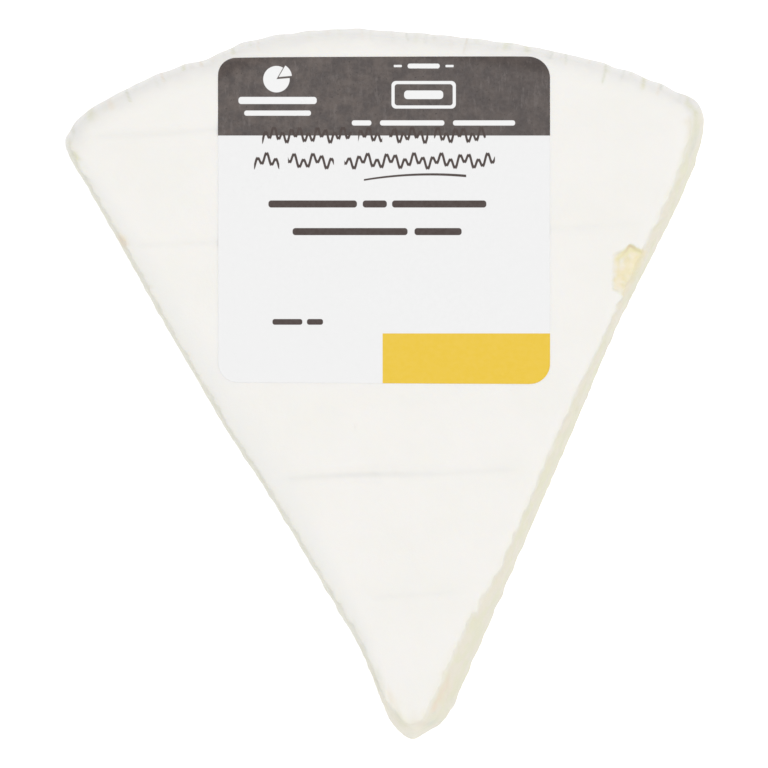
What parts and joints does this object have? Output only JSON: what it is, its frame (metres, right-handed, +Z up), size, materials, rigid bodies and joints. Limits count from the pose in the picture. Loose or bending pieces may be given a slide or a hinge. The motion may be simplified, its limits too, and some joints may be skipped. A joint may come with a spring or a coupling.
{
  "type": "brie wedge",
  "caption": "Wedge of soft white-rinded cheese cut from a flat round, cream paste bulging from its cut faces, with a square paper label stuck on its top.",
  "frame": {"origin": "centre of the bounding box at the flat underside the wedge lies on", "axes": "+Z up out of the labelled top, +Y from the tip to the rinded rim, +X to the right seen from above with the rim at the back"},
  "size_m": [0.1128, 0.1252, 0.0327],
  "materials": {
    "cheese": "matte",
    "label_paper": "satin"
  },
  "bodies": {
    "root": {"cheese_wedge": "cheese", "label": "label_paper"}
  },
  "joints": []
}
